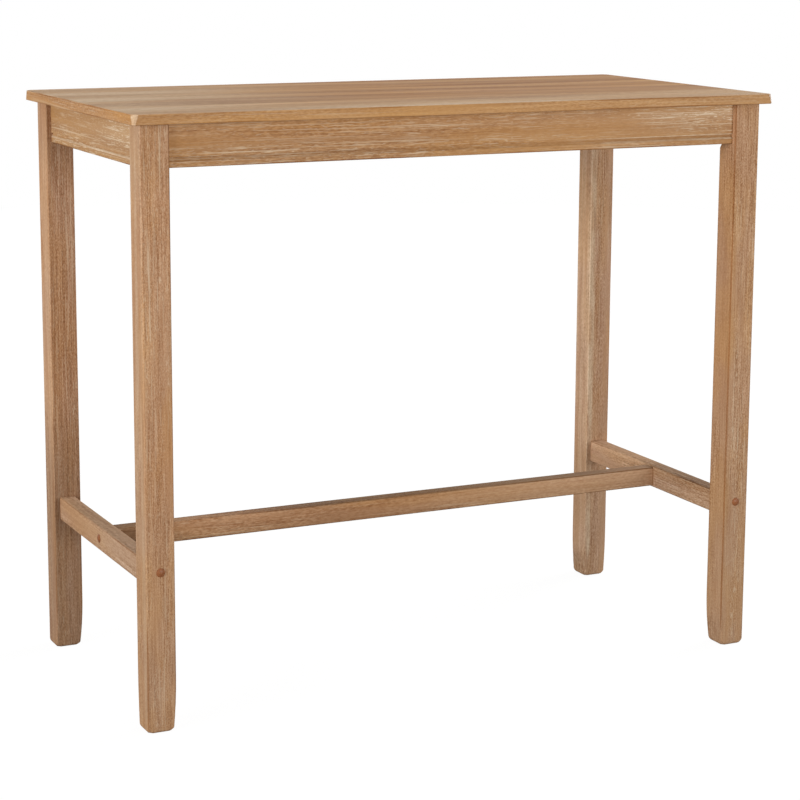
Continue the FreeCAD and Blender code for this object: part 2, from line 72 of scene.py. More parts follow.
# %% [markdown]
# ## The camera
# The photograph was taken from the front left with a long lens, a little above the top. A camera can be
# placed by eye, but here it was fitted to the edges of the table in the picture, because a few pixels of
# tilt already change how the legs lean. In the picture all upright edges are parallel, which takes a lens
# that is shifted far. Here the shift is small, so that the table also stays in the frame when it is seen
# from other sides.

# %% Place the camera
picture_width = 800
focal_pixels = 2270.65
shift_pixels = -64
sensor_width = 36.0
camera_place = Vector((-1.82305, -3.80006, 1.36380))
camera_yaw = math.radians(25.6855)
camera_pitch = math.radians(-10.2582)
camera_roll = math.radians(0.2919)

lens = bpy.data.cameras.new("photo_camera")
lens.sensor_width = sensor_width
lens.lens = focal_pixels / picture_width * sensor_width
lens.shift_y = shift_pixels / picture_width
camera = bpy.data.objects.new("photo_camera", lens)
aim = Euler((math.pi / 2 + camera_pitch, 0, -camera_yaw)).to_matrix()
camera.rotation_euler = (aim @ Matrix.Rotation(camera_roll, 3, "Z")).to_euler()
camera.location = camera_place
bpy.context.scene.collection.objects.link(camera)
bpy.context.scene.camera = camera
print("lens:", round(lens.lens, 1), "mm")

# %% [markdown]
# ## Small helpers for node trees
# Every finish below is a tree of shader nodes. Adding a node, setting it and linking its inputs takes
# several lines, so one helper does all three. The others are the few sums that wood needs, and each gives
# back the output of its node, so that one sum can be put into the next as in any formula.

# %% Node helpers
def put(tree, kind, inputs, **settings):
    """Adds a node, sets its options, and fills its inputs from values or from other nodes' outputs."""
    node = tree.nodes.new(kind)
    for name, value in settings.items():
        setattr(node, name, value)
    for socket, value in inputs.items():
        if isinstance(value, bpy.types.NodeSocket):
            tree.links.new(value, node.inputs[socket])
        else:
            node.inputs[socket].default_value = value
    return node


def sum_up(tree, operation, first, second=0.0, third=0.0):
    return put(tree, "ShaderNodeMath", {0: first, 1: second, 2: third}, operation=operation).outputs[0]


def move(tree, operation, first, second=(0, 0, 0)):
    return put(tree, "ShaderNodeVectorMath", {0: first, 1: second}, operation=operation).outputs[0]


def split(tree, vector):
    return put(tree, "ShaderNodeSeparateXYZ", {0: vector}).outputs


def step_between(tree, value, low, high, start=0.0, end=1.0):
    """Goes smoothly from start, where the value is low, to end, where it is high."""
    inputs = {"Value": value, "From Min": low, "From Max": high, "To Min": start, "To Max": end}
    return put(tree, "ShaderNodeMapRange", inputs, interpolation_type="SMOOTHSTEP").outputs[0]


def mix_colour(tree, share, first, second, blend_type="MIX"):
    """Mixes two colours. A Mix node also has sockets for numbers and vectors, so colours are 6 and 7."""
    inputs = {0: share, 6: first, 7: second}
    return put(tree, "ShaderNodeMix", inputs, data_type="RGBA", blend_type=blend_type).outputs[2]


# %% [markdown]
# ## Noise with a grain
# Limed wood has three layers. The timber itself has broad bands of lighter and darker growth, then long
# fibres and short flecks a millimetre or two wide. Brushing opens the pores, which show as short dark
# dashes. Last the pale glaze is rubbed on and wiped off, so it stays in the open grain and in patches.
# Each of these is a noise drawn out along the grain, and a table lists them all: how many features fit in
# a metre along and across the grain, a shift that sets the noise apart from the others, and its detail.

# %% The figure of the wood
figure = {
    "sway": ((1.6, 8), 4.1, 2),
    "bands": ((2.2, 44), 0.0, 3),
    "zones": ((1.8, 30), 29.0, 2),
    "fibres": ((6, 340), 11.0, 2),
    "flecks": ((130, 420), 23.0, 1),
    "pores": ((60, 480), 37.0, 1),
    "cast": ((3, 20), 51.0, 2),
    "patches": ((2.6, 32), 63.0, 3),
    "lines": ((4, 340), 71.0, 1),
    "dashes": ((26, 420), 77.0, 1),
    "grit": ((120, 480), 83.0, 1),
    "rubbing": ((4, 12), 91.0, 2),
}
mark_edges = {
    "zones": (0.38, 0.62), "pores": (0.58, 0.66), "cast": (0.35, 0.65), "patches": (0.42, 0.66),
    "lines": (0.61, 0.68), "dashes": (0.60, 0.68), "grit": (0.58, 0.66), "rubbing": (0.66, 0.84),
}
print("noises in the figure:", len(figure))

# %% Noise helpers
within_layer = 0.45
apart = (1.0, 1.7, 2.3)


def noise(tree, place, scale, detail):
    return put(tree, "ShaderNodeTexNoise", {"Vector": place, "Scale": scale, "Detail": detail}).outputs[0]


def grain_noise(tree, place, stretch, shift, detail):
    """Noise drawn out along the grain. Across the growth layers its features lie closer than within a
    layer, as on a sawn board."""
    along, across = stretch
    drawn = move(tree, "MULTIPLY", place, (along, within_layer * across, across))
    drawn = move(tree, "ADD", drawn, tuple(shift * share for share in apart))
    return noise(tree, drawn, 1.0, detail)


def swing(tree, place, name):
    """One noise of the figure, from minus a half to a half."""
    return sum_up(tree, "SUBTRACT", grain_noise(tree, place, *figure[name]), 0.5)


def marks(tree, place, name):
    """One noise of the figure as marks with soft edges."""
    return step_between(tree, grain_noise(tree, place, *figure[name]), *mark_edges[name])


# %% [markdown]
# ## The timber
# The growth layers of a board curve round a pith that lies outside it, and the saw cut runs a little
# across them. Open grain comes in zones, with long fibres, short flecks and dark pores, between calmer
# zones. A dark streak in wood is also a warmer one, so the tone is raised to a higher power for green and
# a higher one yet for blue. That keeps one noise for all three, where a colour ramp would need its stops
# set for every tint.

# %% Fibres and growth layers
fibre_sway = 0.007
saw_slant = (0.05, 1, 1)
pith_offset = (0.0, 0.07, 0.02)
layer_waves = 760.0
layer_wobble = 8.0


def lay_fibres(board):
    """Each board comes from another place in the tree, and its fibres wander from a straight line."""
    tree, given = board.tree, board.given
    elsewhere = put(tree, "ShaderNodeCombineXYZ", {"Y": given["Seed"], "Z": given["Seed"]}).outputs[0]
    board.straight = move(tree, "ADD", given["Grain"], elsewhere)
    sway = swing(tree, board.straight, "sway")
    aside = sum_up(tree, "MULTIPLY", sway, fibre_sway)
    wander = put(tree, "ShaderNodeCombineXYZ", {"Y": aside, "Z": aside}).outputs[0]
    board.place = move(tree, "ADD", board.straight, wander)

    from_pith = move(tree, "ADD", move(tree, "MULTIPLY", given["Grain"], saw_slant), pith_offset)
    spread = put(tree, "ShaderNodeVectorMath", {0: from_pith}, operation="LENGTH").outputs["Value"]
    wobble = sum_up(tree, "MULTIPLY", sway, layer_wobble)
    board.layers = sum_up(tree, "SINE", sum_up(tree, "MULTIPLY_ADD", spread, layer_waves, wobble))


# %% Open grain
calm_share = 0.35
texture_depth = 1.3


def open_grain(board):
    """The zones of open grain, and the fibres, flecks and pores that show there."""
    tree, given, place = board.tree, board.given, board.place
    zones = sum_up(tree, "ADD", grain_noise(tree, place, *figure["zones"]), given["Open"])
    board.zones = step_between(tree, zones, *mark_edges["zones"])
    share = sum_up(tree, "MULTIPLY_ADD", board.zones, 1 - calm_share, calm_share)
    board.opened = sum_up(tree, "MULTIPLY", share, given["Fibres"])
    flecks = sum_up(tree, "MULTIPLY", swing(tree, place, "flecks"), texture_depth)
    board.texture = sum_up(tree, "MULTIPLY_ADD", swing(tree, place, "fibres"), texture_depth, flecks)
    board.pores = sum_up(tree, "MULTIPLY", marks(tree, place, "pores"), board.opened)


# %% The colour of the timber
mean_tone = 1.03
layer_tone = 0.02
zone_tone = -0.04
green_power = 1.4
blue_power = 1.9
golden_cast = (1.03, 1.0, 0.90, 1)
pink_cast = (0.98, 0.99, 1.07, 1)
pore_cast = (0.88, 0.80, 0.72, 1)


def timber(board):
    """The colour of the brushed wood before any glaze."""
    tree, given, place = board.tree, board.given, board.place
    tone = sum_up(tree, "MULTIPLY_ADD", swing(tree, place, "bands"), given["Bands"], mean_tone)
    tone = sum_up(tree, "MULTIPLY_ADD", board.layers, layer_tone, tone)
    tone = sum_up(tree, "MULTIPLY_ADD", board.zones, zone_tone, tone)
    tone = sum_up(tree, "MULTIPLY_ADD", board.texture, board.opened, tone)
    green = sum_up(tree, "POWER", tone, green_power)
    blue = sum_up(tree, "POWER", tone, blue_power)
    warmth = put(tree, "ShaderNodeCombineXYZ", {"X": tone, "Y": green, "Z": blue}).outputs[0]
    wood = mix_colour(tree, 1.0, given["Tint"], warmth, "MULTIPLY")
    cast = mix_colour(tree, marks(tree, place, "cast"), golden_cast, pink_cast)
    wood = mix_colour(tree, 1.0, wood, cast, "MULTIPLY")
    return mix_colour(tree, board.pores, wood, mix_colour(tree, 1.0, wood, pore_cast, "MULTIPLY"))


# %% [markdown]
# ## The lime glaze
# The glaze stays as a thin film in patches, and as lines, dashes and grit where the open grain holds it.
# A cloth leaves it thicker in some places, and there it smears over everything. Along the arrises it was
# rubbed off again, down to darker wood. White paint mixed in evenly would only make the wood look faded,
# so the amount of lime follows the grain everywhere.

# %% The lime
lime_colour = (0.68, 0.53, 0.37, 1)
grit_share = 0.6
film_in_patches = 0.10
least_film = 0.04
grip_in_patches = 0.45
grip_in_zones = 0.45
least_grip = 0.08
smear_swing = 0.9
smear_level = 0.95


def rub_in_lime(board):
    """How much glaze stays at each point."""
    tree, given, place = board.tree, board.given, board.place
    patches = marks(tree, place, "patches")
    held = sum_up(tree, "MAXIMUM", marks(tree, place, "lines"), marks(tree, place, "dashes"))
    held = sum_up(tree, "MAXIMUM", held, sum_up(tree, "MULTIPLY", marks(tree, place, "grit"), grit_share))
    film = sum_up(tree, "MULTIPLY_ADD", patches, film_in_patches, least_film)
    grip = sum_up(tree, "MULTIPLY_ADD", board.zones, grip_in_zones, least_grip)
    grip = sum_up(tree, "MULTIPLY_ADD", patches, grip_in_patches, grip)
    lime = sum_up(tree, "MULTIPLY", sum_up(tree, "MULTIPLY_ADD", held, grip, film), given["Lime"])
    level = sum_up(tree, "MULTIPLY_ADD", board.texture, smear_swing, smear_level)
    # The glaze input also brings a painted sheen on the top, in the colour of the lime
    smear_and_sheen = sum_up(tree, "MULTIPLY", given["GlazeAndSheen"], level)
    return put(tree, "ShaderNodeClamp", {0: sum_up(tree, "MAXIMUM", lime, smear_and_sheen)}).outputs[0]


# %% The worn arrises
rubbed_cast = (0.66, 0.54, 0.42, 1)
arris_rub = 0.25


def wear_arrises(board, finish):
    """The finish with darker wood along its arrises, in places."""
    tree, arris = board.tree, board.given["Arris"]
    uneven = grain_noise(tree, board.straight, *figure["rubbing"])
    rubbed = sum_up(tree, "MULTIPLY_ADD", arris, arris_rub, uneven)
    rubbed = step_between(tree, rubbed, *mark_edges["rubbing"])
    rubbed = sum_up(tree, "MULTIPLY", rubbed, sum_up(tree, "MINIMUM", arris, 1.0))
    return mix_colour(tree, rubbed, finish, mix_colour(tree, 1.0, finish, rubbed_cast, "MULTIPLY"))


# %% [markdown]
# ## One group for all the wood
# Timber and glaze now go into one node group, which every member of the table uses with its own tint and
# its own amounts. A group keeps the members alike, and a change to it reaches all of them. Its painted
# shading input paints light and shade on a member: it makes it darker or lighter in places without a
# change of hue.

# %% The limed wood group
group_inputs = {
    "Grain": "NodeSocketVector", "Seed": "NodeSocketFloat", "Tint": "NodeSocketColor",
    "Bands": "NodeSocketFloat", "Fibres": "NodeSocketFloat", "Open": "NodeSocketFloat",
    "PaintedShading": "NodeSocketFloat", "Lime": "NodeSocketFloat", "GlazeAndSheen": "NodeSocketFloat",
    "Arris": "NodeSocketFloat",
}
group_outputs = {"Colour": "NodeSocketColor", "Roughness": "NodeSocketFloat", "Height": "NodeSocketFloat"}
wood_roughness = 0.66
roughness_swing = 0.12
pore_depth = -0.8


def make_limed_group():
    tree = bpy.data.node_groups.new("limed_wood", "ShaderNodeTree")
    for name, kind in group_inputs.items():
        tree.interface.new_socket(name, in_out="INPUT", socket_type=kind)
    for name, kind in group_outputs.items():
        tree.interface.new_socket(name, in_out="OUTPUT", socket_type=kind)
    board = SimpleNamespace(tree=tree, given=put(tree, "NodeGroupInput", {}).outputs)
    lay_fibres(board)
    open_grain(board)
    lime = rub_in_lime(board)
    finish = mix_colour(tree, lime, timber(board), lime_colour)
    # Painted light and shade: the member is darker or lighter in places, without a change of hue
    painted_shading = sum_up(tree, "ADD", board.given["PaintedShading"], 1.0)
    finish = wear_arrises(board, mix_colour(tree, 1.0, finish, painted_shading, "MULTIPLY"))
    roughness = sum_up(tree, "MULTIPLY_ADD", board.texture, roughness_swing, wood_roughness)
    roughness = sum_up(tree, "MULTIPLY_ADD", lime, roughness_swing, roughness)
    height = sum_up(tree, "MULTIPLY_ADD", board.pores, pore_depth, board.texture)
    put(tree, "NodeGroupOutput", {"Colour": finish, "Roughness": roughness, "Height": height})
    return tree


limed_group = make_limed_group()
print("limed wood nodes:", len(limed_group.nodes))

# %% [markdown]
# ## One material for each wooden member
# The grain of a leg runs upwards and that of an apron along its length, so each piece turns the pattern
# to its own grain. The pattern is solid: it fills space like real wood, so streaks run over an arris from
# face to face. Wear needs to know how far a point is from the nearest arris. On a squared piece that is
# the middle one of the three distances to its faces, so it can be read from the piece's box without any
# painting.

# %% A piece and its faces
face_skin = (0.0005, 0.0020)


class Piece:
    """A wooden piece's box and the node tree of its finish, for masks that depend on where a point lies."""

    def __init__(self, node, tree):
        self.tree = tree
        self.low, self.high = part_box(node)
        self.middle = (self.low + self.high) / 2
        self.place = put(tree, "ShaderNodeTexCoord", {}).outputs["Object"]
        self.from_middle = move(tree, "SUBTRACT", self.place, self.middle)
        reach = (self.high - self.low) / 2
        self.gaps = split(tree, move(tree, "SUBTRACT", reach, move(tree, "ABSOLUTE", self.from_middle)))

    def to_arris(self):
        """How far a point is from the nearest arris."""
        least = sum_up(self.tree, "MINIMUM", self.gaps[0], self.gaps[1])
        most = sum_up(self.tree, "MAXIMUM", self.gaps[0], self.gaps[1])
        return sum_up(self.tree, "MAXIMUM", least, sum_up(self.tree, "MINIMUM", most, self.gaps[2]))

    def on_sides(self, there, elsewhere):
        """A value on the faces that look left and right, and another one elsewhere."""
        return step_between(self.tree, self.gaps[0], *face_skin, there, elsewhere)


# %% Material helpers
def new_material(name):
    material = bpy.data.materials.new(name)
    material.use_nodes = True
    return material, material.node_tree, material.node_tree.nodes["Principled BSDF"].inputs


def show(tree, shader, colour, roughness, height, depth, strength):
    """Links a colour, a roughness and a relief of a given depth to a material's shader."""
    bump = put(tree, "ShaderNodeBump", {"Height": height, "Distance": depth, "Strength": strength})
    tree.links.new(colour, shader["Base Color"])
    tree.links.new(roughness, shader["Roughness"])
    tree.links.new(bump.outputs[0], shader["Normal"])


def dress(node, material):
    """Gives a loaded solid its finish, in every material slot that it has."""
    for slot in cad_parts[node].material_slots:
        slot.material = material


# %% The finish of one member
grain_turn = {"x": (0, 0, 0), "y": (0, 0, math.pi / 2), "z": (0, -math.pi / 2, 0)}
# The shade mask goes to the group's input for painted light and shade
mask_inputs = {"opening": "Open", "glaze": "GlazeAndSheen", "limed": "Lime", "painted_shading": "PaintedShading"}
arris_reach = (0.0014, 0.0030)
seed_step = 0.37
wood_relief = 0.0002
wood_relief_strength = 0.6
satin = 0.12


def limed_wood(node, grain, tint, bands, fibres, lime, streak=1.0, fine=1.0, wear=None, **masks):
    """The finish of one member. Streak and fine make the figure shorter along the grain and closer across
    it. The masks say where the arrises are worn, where the grain is open, where the glaze gathers or is
    stronger, where a sheen is painted on the top, and where painted light and shade make the tone darker
    or lighter."""
    material, tree, shader = new_material(node + "_finish")
    shader["Specular IOR Level"].default_value = satin
    piece = Piece(node, tree)
    turn = {"Vector": piece.from_middle, "Rotation": grain_turn[grain]}
    turned = put(tree, "ShaderNodeMapping", turn, vector_type="TEXTURE").outputs[0]
    arris = step_between(tree, piece.to_arris(), *arris_reach, 1.0, 0.0)
    if wear:
        arris = sum_up(tree, "MULTIPLY", arris, wear(piece))
    # The number of materials grows with each one, so every piece gets a figure of its own
    inputs = {"Grain": move(tree, "MULTIPLY", turned, (streak, fine, fine)),
              "Seed": seed_step * len(bpy.data.materials), "Tint": (*tint, 1), "Bands": bands,
              "Fibres": fibres, "Lime": lime, "Arris": arris}
    for name, mask in masks.items():
        inputs[mask_inputs[name]] = mask(piece)
    wood = put(tree, "ShaderNodeGroup", inputs, node_tree=limed_group).outputs
    show(tree, shader, wood["Colour"], wood["Roughness"], wood["Height"], wood_relief, wood_relief_strength)
    return material


def dress_wood(plan):
    for node, settings in plan.items():
        dress(node, limed_wood(node, **settings))
    print("wood:", ", ".join(plan))


# %% [markdown]
# ## The top
# The top is a panel with a brushed veneer above, a plain one below and honey-coloured solid lippings
# round its edge. On its face a sheen is painted in the colour of the glaze, towards the left end and along
# the front edge. The glaze soaks into the end grain of the sanded corners at the left, while those at the
# right are darkened with painted shade.
# Such places could be painted by hand, but they are known from the solids' boxes, so a smooth step finds
# them.

# %% Corners of the top
corner_cut = (0.004, 0.009)
corner_blur = 0.0020
half_blur = 0.1
corner_lime = 0.55
# Painted shade on the sanded corners at the right, where the light falls strongly
right_corner_painted_shade = -0.4


def sanded_corner(piece, left, right):
    """A value for the sanded corners on the left half of the top and on its right half, none elsewhere."""
    tree = piece.tree
    outer = (cad_high.x, cad_high.y, 0)
    away = split(tree, move(tree, "SUBTRACT", move(tree, "ABSOLUTE", piece.place), outer))
    slab_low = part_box("underside_veneer")[0].z
    cut = step_between(tree, away[2], slab_low, cad_high.z, *corner_cut)
    past = sum_up(tree, "ADD", sum_up(tree, "ADD", away[0], away[1]), cut)
    amount = step_between(tree, split(tree, piece.place)[0], -half_blur, half_blur, left, right)
    return sum_up(tree, "MULTIPLY", step_between(tree, past, -corner_blur, 0.0), amount)


def corner_glaze(piece):
    return sanded_corner(piece, corner_lime, 0.0)


# Painted shade: the sanded corners on the right half of the top are darkened
def painted_corner_shade(piece):
    return sanded_corner(piece, 0.0, right_corner_painted_shade)


# %% Painted sheen on the top
left_painted_sheen = 0.64
left_painted_sheen_span = (-0.62, 0.05)
front_painted_sheen = 0.69
front_painted_sheen_span = (-0.30, -0.06)
painted_sheen_noise = ((1.5, 22), 5.0, 3)
painted_sheen_edges = (0.35, 0.65)
painted_sheen_swing = (0.5, 1.2)


def top_painted_sheen_and_glaze(piece):
    """An uneven painted sheen towards the left end and along the front edge, and lime in the corners."""
    tree = piece.tree
    along, across, _ = split(tree, piece.place)
    left = step_between(tree, along, *left_painted_sheen_span, left_painted_sheen, 0.0)
    front = step_between(tree, across, *front_painted_sheen_span, front_painted_sheen, 0.0)
    painted_sheen = sum_up(tree, "MAXIMUM", left, front)
    uneven = step_between(tree, grain_noise(tree, piece.place, *painted_sheen_noise), *painted_sheen_edges, *painted_sheen_swing)
    return sum_up(tree, "MAXIMUM", sum_up(tree, "MULTIPLY", painted_sheen, uneven), corner_glaze(piece))


# %% Dress the top
# The lippings' shade mask paints shade on the sanded corners at the right
lipping = dict(bands=0.5, fibres=0.5, glaze=corner_glaze, painted_shading=painted_corner_shade)
long_edge = dict(lipping, grain="x", tint=(0.44, 0.23, 0.087), lime=0.25)
short_edge = dict(lipping, grain="y", tint=(0.43, 0.215, 0.079), lime=0.4)
dress_wood({
    # The top's glaze mask paints a sheen towards its left end and front edge, with lime in its left corners
    "top_veneer": dict(grain="x", tint=(0.376, 0.187, 0.072), bands=1.6, fibres=0.45, lime=0.25,
                       streak=0.6, glaze=top_painted_sheen_and_glaze),
    "underside_veneer": dict(grain="x", tint=(0.34, 0.18, 0.085), bands=0.8, fibres=0.6, lime=0.15,
                             streak=0.7),
    "front_lipping": long_edge,
    "back_lipping": long_edge,
    "left_lipping": short_edge,
    "right_lipping": short_edge,
})

# %% [markdown]
# ## The aprons
# An apron is a board on edge with a groove run along it near the bottom. The glaze collects where a cloth
# can't wipe, on the ledge and under the upper lip of the groove, and painted shadow darkens the groove's
# floor. The real table has whitewashed patches at the right end of the front apron and at the upper
# front corner of the left one. Painted light and shade also make an apron lighter towards its top and
# darker below, and lighten the front apron's left end against the leg's shadow. A height alone finds the
# groove, because all four aprons hang level.

# %% Lines along the groove
apron_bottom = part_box("front_apron")[0].z
ledge_line = (apron_bottom + 0.0098, apron_bottom + 0.0124)
lip_line = (apron_bottom + 0.0178, apron_bottom + 0.0196)
line_blur = 0.0006
line_breaks = (6, 6)
line_detail = 3
line_edges = (0.40, 0.60)
ledge_end = (0.36, 0.50)
lip_end = (0.10, 0.40)


def level_line(piece, low, high):
    """One between two heights and none elsewhere."""
    tree = piece.tree
    height = split(tree, piece.place)[2]
    above = step_between(tree, height, low - line_blur, low)
    return sum_up(tree, "MULTIPLY", above, step_between(tree, height, high, high + line_blur, 1.0, 0.0))


def groove_glaze(least, most, shift, right=0.0):
    """A pale line along the ledge of a groove, from least to most along its length, and two lines, along
    the ledge and the upper lip, towards a right end."""
    def glaze(piece):
        tree = piece.tree
        along = split(tree, piece.place)[0]
        broken = grain_noise(tree, piece.place, line_breaks, shift, line_detail)
        broken = step_between(tree, broken, *line_edges, least, most)
        near_end = step_between(tree, along, *ledge_end, 0.0, right)
        ledge = sum_up(tree, "MAXIMUM", broken, near_end)
        ledge = sum_up(tree, "MULTIPLY", level_line(piece, *ledge_line), ledge)
        lip = step_between(tree, along, *lip_end, 0.0, right)
        lip = sum_up(tree, "MULTIPLY", level_line(piece, *lip_line), lip)
        return sum_up(tree, "MAXIMUM", ledge, lip)
    return glaze


# %% Whitewashed patches of the aprons
groove_top = apron_bottom + 0.020
end_wash_span = (0.30, 0.46)
end_wash_rise = 0.004
below_wash = -0.2
corner_wash_span = (-0.22, 0.0)
corner_wash_top = apron_bottom + 0.05


def end_washed(usual, extra):
    """More lime above the groove towards the right end of the front apron."""
    def limed(piece):
        tree = piece.tree
        along, _, height = split(tree, piece.place)
        washed = step_between(tree, along, *end_wash_span, 0.0, extra)
        above = step_between(tree, height, groove_top, groove_top + end_wash_rise, below_wash, 1.0)
        return sum_up(tree, "MULTIPLY_ADD", washed, above, usual)
    return limed


def corner_washed(usual, extra):
    """More lime on the left apron's upper front corner."""
    def limed(piece):
        tree = piece.tree
        _, across, height = split(tree, piece.place)
        front = step_between(tree, across, *corner_wash_span, 1.0, 0.0)
        upper = step_between(tree, height, groove_top, corner_wash_top)
        return sum_up(tree, "MULTIPLY_ADD", sum_up(tree, "MULTIPLY", front, upper), extra, usual)
    return limed


# %% Painted light and shade of the aprons
apron_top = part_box("front_apron")[1].z
# Heights of the painted shadow on the groove's floor
painted_groove_shadow_band = (apron_bottom + 0.0095, apron_bottom + 0.0165)
# How far the painted light against the leg's shadow reaches from the left end
end_painted_light_reach = 0.04


def apron_painted_shading(lower, upper, painted_groove_shadow, left=0.0):
    """Painted light and shade on an apron: from lower to upper between its groove and its top, painted
    shadow in its groove, and painted light against the leg's shadow at its left end.
    """
    def painted_shading(piece):
        tree = piece.tree
        along, _, height = split(tree, piece.place)
        tone = step_between(tree, height, groove_top, apron_top, lower, upper)
        end = piece.low.x
        tone = sum_up(tree, "ADD", tone, step_between(tree, along, end, end + end_painted_light_reach, left, 0.0))
        # Painted shadow in the groove
        return sum_up(tree, "MULTIPLY_ADD", level_line(piece, *painted_groove_shadow_band), painted_groove_shadow, tone)
    return painted_shading


# %% Dress the aprons
long_apron = dict(grain="x", tint=(0.405, 0.203, 0.077), bands=0.4, fibres=0.65, lime=0.7, streak=0.8,
                  fine=1.15)
short_apron = dict(grain="y", tint=(0.40, 0.205, 0.078), bands=0.4, fibres=0.5, lime=0.6)
dress_wood({
    # The front apron's shade mask paints light towards its top and left end, and shadow in its groove
    "front_apron": dict(long_apron, tint=(0.408, 0.207, 0.081), limed=end_washed(usual=0.75, extra=2.0),
                        glaze=groove_glaze(least=0.0, most=0.45, shift=3.0, right=0.6),
                        painted_shading=apron_painted_shading(lower=-0.04, upper=0.06, painted_groove_shadow=-0.11, left=0.18)),
    "back_apron": dict(long_apron, glaze=groove_glaze(least=0.0, most=0.45, shift=5.0),
                       painted_shading=apron_painted_shading(lower=-0.04, upper=0.06, painted_groove_shadow=-0.11)),
    "left_apron": dict(short_apron, tint=(0.40, 0.21, 0.084), limed=corner_washed(usual=0.68, extra=1.3),
                       glaze=groove_glaze(least=0.55, most=0.95, shift=7.0)),
    "right_apron": dict(short_apron, glaze=groove_glaze(least=0.4, most=0.9, shift=9.0)),
})

# %% [markdown]
# ## The legs
# The legs are sawn so that open grain shows on the front and the back, less on the sides, and more on one
# half of each face. The glaze lies thicker towards the foot and, in streaks, on the sides. Some arrises
# are rubbed down to dark wood, and others have a washed strip beside them. No two legs of the real table
# are alike, so each of these is a function of a few amounts, and the plan gives every leg its own.

# %% Grain and lime on the legs
lime_rise = (0.15, 0.45)


def leg_opening(slope=-5.0, side=-0.45, front=0.04):
    """How open the grain is on the sides and on the front, with a slope across each face, per metre."""
    def opening(piece):
        across = split(piece.tree, piece.from_middle)[0]
        return sum_up(piece.tree, "MULTIPLY_ADD", across, slope, piece.on_sides(side, front))
    return opening


def leg_limed(usual, bare, head):
    """No lime along the left arris of a leg, for a given width, and another amount at its head."""
    def limed(piece):
        tree = piece.tree
        along, _, height = split(tree, piece.from_middle)
        edge = piece.low.x - piece.middle.x
        amount = step_between(tree, height, *lime_rise, usual, head)
        return step_between(tree, along, edge, edge + bare, 0.0, amount)
    return limed


# %% Streaks on the sides of a leg
side_streaks = (75, 2.5)
streak_detail = 2
streak_edges = (0.38, 0.62)
streak_swing = (0.3, 1.6)
apron_heights = (0.86, 0.98)


def streaked_sides(piece, shift, side, side_head):
    """Upright streaks of glaze on the sides of a leg, with more beside the aprons."""
    tree = piece.tree
    streaks = noise(tree, move(tree, "MULTIPLY", piece.place, (shift, *side_streaks)), 1.0, streak_detail)
    streaks = step_between(tree, streaks, *streak_edges, *(share * side for share in streak_swing))
    height = split(tree, piece.place)[2]
    streaks = sum_up(tree, "ADD", streaks, step_between(tree, height, *apron_heights, 0.0, side_head))
    return sum_up(tree, "MULTIPLY", streaks, piece.on_sides(1.0, 0.0))


# %% A washed strip on a leg
strip_blur = 0.4
front_skin = (0.0005, 0.0025)
strip_breaks = (60, 9)
strip_detail = 3
strip_edges = (0.38, 0.60)
strip_swing = (0.3, 1.0)


def washed_strip(piece, width, shift):
    """A broken strip along the left arris of a leg's front."""
    tree = piece.tree
    along, across, _ = split(tree, piece.from_middle)
    edge = piece.low.x - piece.middle.x + width
    strip = step_between(tree, along, edge - strip_blur * width, edge, 1.0, 0.0)
    face = piece.low.y - piece.middle.y
    on_front = step_between(tree, across, *(face + depth for depth in front_skin), 1.0, 0.0)
    broken = grain_noise(tree, piece.place, strip_breaks, shift, strip_detail)
    broken = step_between(tree, broken, *strip_edges, *strip_swing)
    return sum_up(tree, "MULTIPLY", sum_up(tree, "MULTIPLY", strip, on_front), broken)


# %% All the glaze on a leg
foot_film = 0.13
foot_heights = (0.05, 0.6)
head_heights = (0.55, 0.75)


def leg_glaze(strip, washed, shift, side=0.0, head=0.0, side_head=0.0):
    """A film of glaze towards a leg's foot and head and on its sides, and a strip of a given width that
    is washed by a given amount."""
    def glaze(piece):
        tree = piece.tree
        height = split(tree, piece.place)[2]
        foot = step_between(tree, height, *foot_heights, foot_film, 0.0)
        film = sum_up(tree, "MAXIMUM", foot, step_between(tree, height, *head_heights, 0.0, head))
        film = sum_up(tree, "MAXIMUM", film, streaked_sides(piece, shift, side, side_head))
        return sum_up(tree, "MULTIPLY_ADD", washed_strip(piece, strip, shift), washed, film)
    return glaze


# %% Painted light and shade, and wear of the legs
# Heights from a leg's middle of the painted shade on its lower part and the painted shadow at its head
painted_low_shade_span = (-0.22, 0.02)
painted_head_shade_span = (0.38, 0.46)
foot_wear_span = (0.02, 0.35)
wear_blur = 0.001


def leg_painted_shading(painted_falloff, side, low=0.0, head=0.0):
    """A leg's painted light and shade: darker towards the foot and lighter towards the head by a falloff
    per metre upwards, its sides lighter or darker, painted shade on its lower part and painted shadow at
    its head beside the aprons."""
    def painted_shading(piece):
        tree = piece.tree
        height = split(tree, piece.from_middle)[2]
        tone = step_between(tree, height, *painted_low_shade_span, low, 0.0)
        tone = sum_up(tree, "ADD", tone, step_between(tree, height, *painted_head_shade_span, 0.0, head))
        tone = sum_up(tree, "MULTIPLY_ADD", height, painted_falloff, tone)
        return sum_up(tree, "ADD", tone, piece.on_sides(side, 0.0))
    return painted_shading


def leg_wear(left, right, foot=0.0):
    """How far a leg's arrises are rubbed on its left half and its right half, and how far more at the left
    of its foot."""
    def wear(piece):
        tree = piece.tree
        lower = step_between(tree, split(tree, piece.place)[2], *foot_wear_span, left + foot, left)
        return step_between(tree, split(tree, piece.from_middle)[0], -wear_blur, wear_blur, lower, right)
    return wear


# %% Dress the legs
leg = dict(grain="z", bands=0.25, fibres=0.95, lime=0.5, streak=1.7, fine=1.5, opening=leg_opening())
